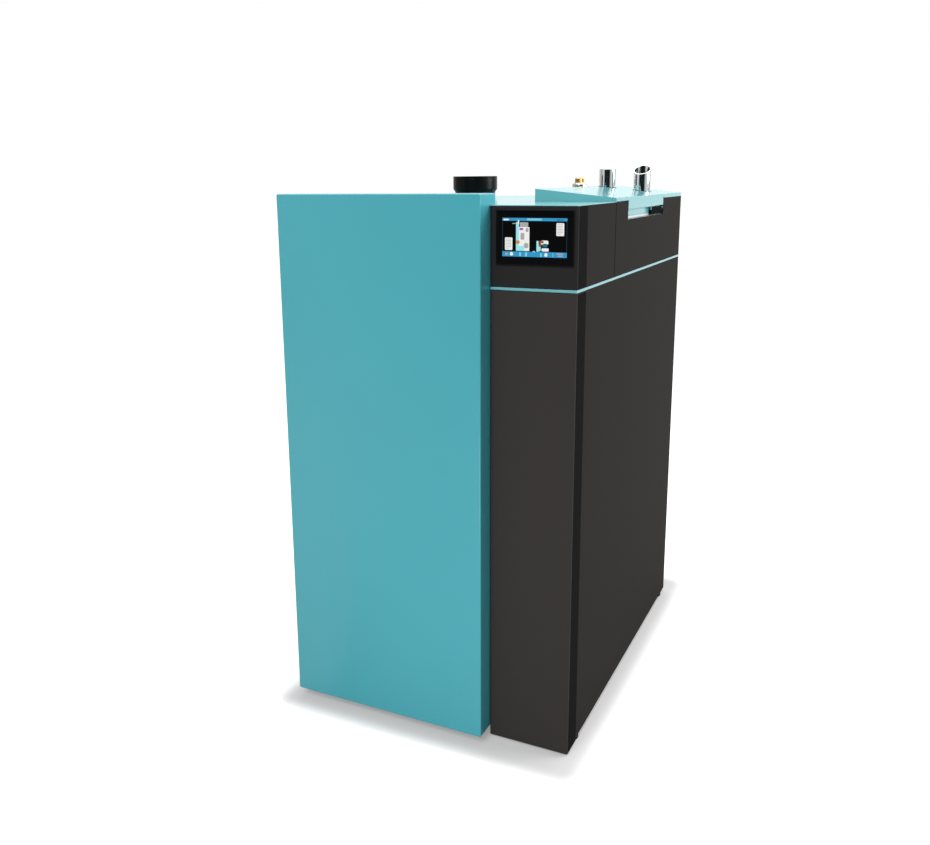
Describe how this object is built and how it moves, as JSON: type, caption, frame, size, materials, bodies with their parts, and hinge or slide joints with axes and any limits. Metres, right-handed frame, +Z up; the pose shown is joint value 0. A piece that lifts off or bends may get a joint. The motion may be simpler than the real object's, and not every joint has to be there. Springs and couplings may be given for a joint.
{
  "type": "pellet boiler with burner",
  "caption": "Floor-standing wood pellet boiler cabinet with a full-height front door, a control column with a touch screen, a hopper lid, burner, feed auger, ash drawer and flue collar.",
  "frame": {"origin": "on the floor under the middle of the bounding box", "axes": "+Z up, +X to the right seen from the front, -Y out of the front door"},
  "size_m": [0.76, 1.15, 1.436],
  "materials": {
    "teal_powder_coat": "satin",
    "charcoal_powder_coat": "satin",
    "galvanised_sheet": "satin",
    "boiler_plate": "matte",
    "cast_iron": "matte",
    "chromed_tube": "gloss",
    "brass": "satin",
    "stainless": "satin",
    "black_enamel": "satin",
    "black_plastic": "matte",
    "grey_plastic": "matte",
    "screen_glass": "gloss",
    "mineral_wool": "matte",
    "rubber": "matte",
    "motor_paint": "satin",
    "zinc_steel": "satin"
  },
  "bodies": {
    "cabinet": {"base_frame": "boiler_plate", "levelling_feet": "black_plastic", "left_side_panel": "charcoal_powder_coat", "lower_side_panel": "charcoal_powder_coat", "head_side_panel": "charcoal_powder_coat", "upper_side_panel": "charcoal_powder_coat", "head_front": "charcoal_powder_coat", "trim_band": "teal_powder_coat", "back_panel": "galvanised_sheet", "top_cover": "teal_powder_coat", "head_top_cover": "teal_powder_coat", "partition_panel": "galvanised_sheet", "front_frame": "charcoal_powder_coat", "door_hinges": "zinc_steel", "door_catch": "black_plastic", "touch_display": "screen_glass", "controller_box": "grey_plastic", "lid_hinge": "zinc_steel", "grip_ledge": "teal_powder_coat", "hopper": "galvanised_sheet", "lid_seal": "rubber", "hopper_rear_cover": "teal_powder_coat", "cyclone": "galvanised_sheet", "suction_turbine": "grey_plastic", "suction_stub": "chromed_tube", "return_air_stub": "chromed_tube", "auger_tube": "galvanised_sheet", "auger_gearmotor": "motor_paint", "drop_hose": "rubber", "burner_tube": "stainless", "burner_housing": "galvanised_sheet", "grate_actuator": "motor_paint", "igniter": "stainless", "burner_fan_housing": "black_enamel", "boiler_shell": "boiler_plate", "firebox": "boiler_plate", "cleaning_actuator": "motor_paint", "boiler_insulation": "mineral_wool", "flue_fan_housing": "boiler_plate", "flue_spigot": "black_enamel", "water_sockets": "zinc_steel", "drain_valve": "brass", "air_vent": "brass", "power_inlet": "black_plastic", "fasteners": "zinc_steel"},
    "door": {"front_door": "teal_powder_coat", "front_door_liner": "mineral_wool"},
    "fire_door": {"fire_door": "cast_iron"},
    "fire_handle": {"fire_door_handle": "black_plastic"},
    "drawer": {"ash_drawer": "boiler_plate"},
    "lid": {"hopper_lid": "teal_powder_coat"},
    "latch": {"lid_latch": "black_plastic"},
    "cover": {"service_cover": "charcoal_powder_coat"},
    "auger": {"feed_auger": "zinc_steel"},
    "burner_fan": {"burner_fan_impeller": "galvanised_sheet"},
    "flue_fan": {"flue_fan_impeller": "stainless"},
    "grate": {"burner_grate": "stainless"},
    "cleaner": {"turbulators": "stainless"},
    "drain": {"drain_lever": "black_enamel"},
    "switch": {"main_switch": "black_plastic"}
  },
  "joints": [
    {"name": "front_door_hinge", "type": "hinge", "parent": "cabinet", "child": "door", "pos_m": [-0.372, -0.498, 0.698], "axis": [0, 0, -1], "range_deg": [0, 110]},
    {"name": "fire_door_hinge", "type": "hinge", "parent": "cabinet", "child": "fire_door", "pos_m": [-0.292, -0.449, 0.51], "axis": [0, 0, -1], "range_deg": [0, 95]},
    {"name": "fire_handle_turn", "type": "hinge", "parent": "fire_door", "child": "fire_handle", "pos_m": [0.03, -0.465, 0.5045], "axis": [0, 1, 0], "range_deg": [0, 80]},
    {"name": "ash_drawer_slide", "type": "slide", "parent": "cabinet", "child": "drawer", "axis": [0, -1, 0], "range_m": [0, 0.31]},
    {"name": "hopper_lid_hinge", "type": "hinge", "parent": "cabinet", "child": "lid", "pos_m": [0.1615, 0.027, 1.3505], "axis": [0, -1, 0], "range_deg": [0, 80]},
    {"name": "lid_latch_pull", "type": "hinge", "parent": "cabinet", "child": "latch", "pos_m": [0.3755, 0.2015, 1.316], "axis": [0, -1, 0], "range_deg": [0, 25], "stiffness_Nm_per_rad": 0.1, "springref_deg": -5.73},
    {"name": "service_cover_pull", "type": "slide", "parent": "cabinet", "child": "cover", "axis": [0, -1, 0], "range_m": [0, 0.25]},
    {"name": "feed_auger_spin", "type": "hinge", "parent": "cabinet", "child": "auger", "pos_m": [0.27, -0.125, 0.7], "axis": [0, 1, 0], "continuous": true},
    {"name": "burner_fan_spin", "type": "hinge", "parent": "cabinet", "child": "burner_fan", "pos_m": [0.33, -0.34, 0.43], "axis": [1, 0, 0], "continuous": true},
    {"name": "flue_fan_spin", "type": "hinge", "parent": "cabinet", "child": "flue_fan", "pos_m": [-0.149, 0.11, 1.205], "axis": [0, 1, 0], "continuous": true},
    {"name": "grate_slide", "type": "slide", "parent": "cabinet", "child": "grate", "axis": [-1, 0, 0], "range_m": [0, 0.06]},
    {"name": "cleaning_lift", "type": "slide", "parent": "cabinet", "child": "cleaner", "axis": [0, 0, 1], "range_m": [0, 0.03]},
    {"name": "drain_lever_turn", "type": "hinge", "parent": "cabinet", "child": "drain", "pos_m": [-0.08, 0.541, 0.18], "axis": [0, 0, 1], "range_deg": [0, 90]},
    {"name": "main_switch_rock", "type": "hinge", "parent": "cabinet", "child": "switch", "pos_m": [0.289, 0.521, 0.345], "axis": [1, 0, 0], "range_deg": [-8, 8]}
  ],
  "couplings": [
    {"joint": "fire_door_hinge", "follows": "front_door_hinge", "ratio": 0.85},
    {"joint": "ash_drawer_slide", "follows": "front_door_hinge", "m_per_rad": 0.16}
  ]
}
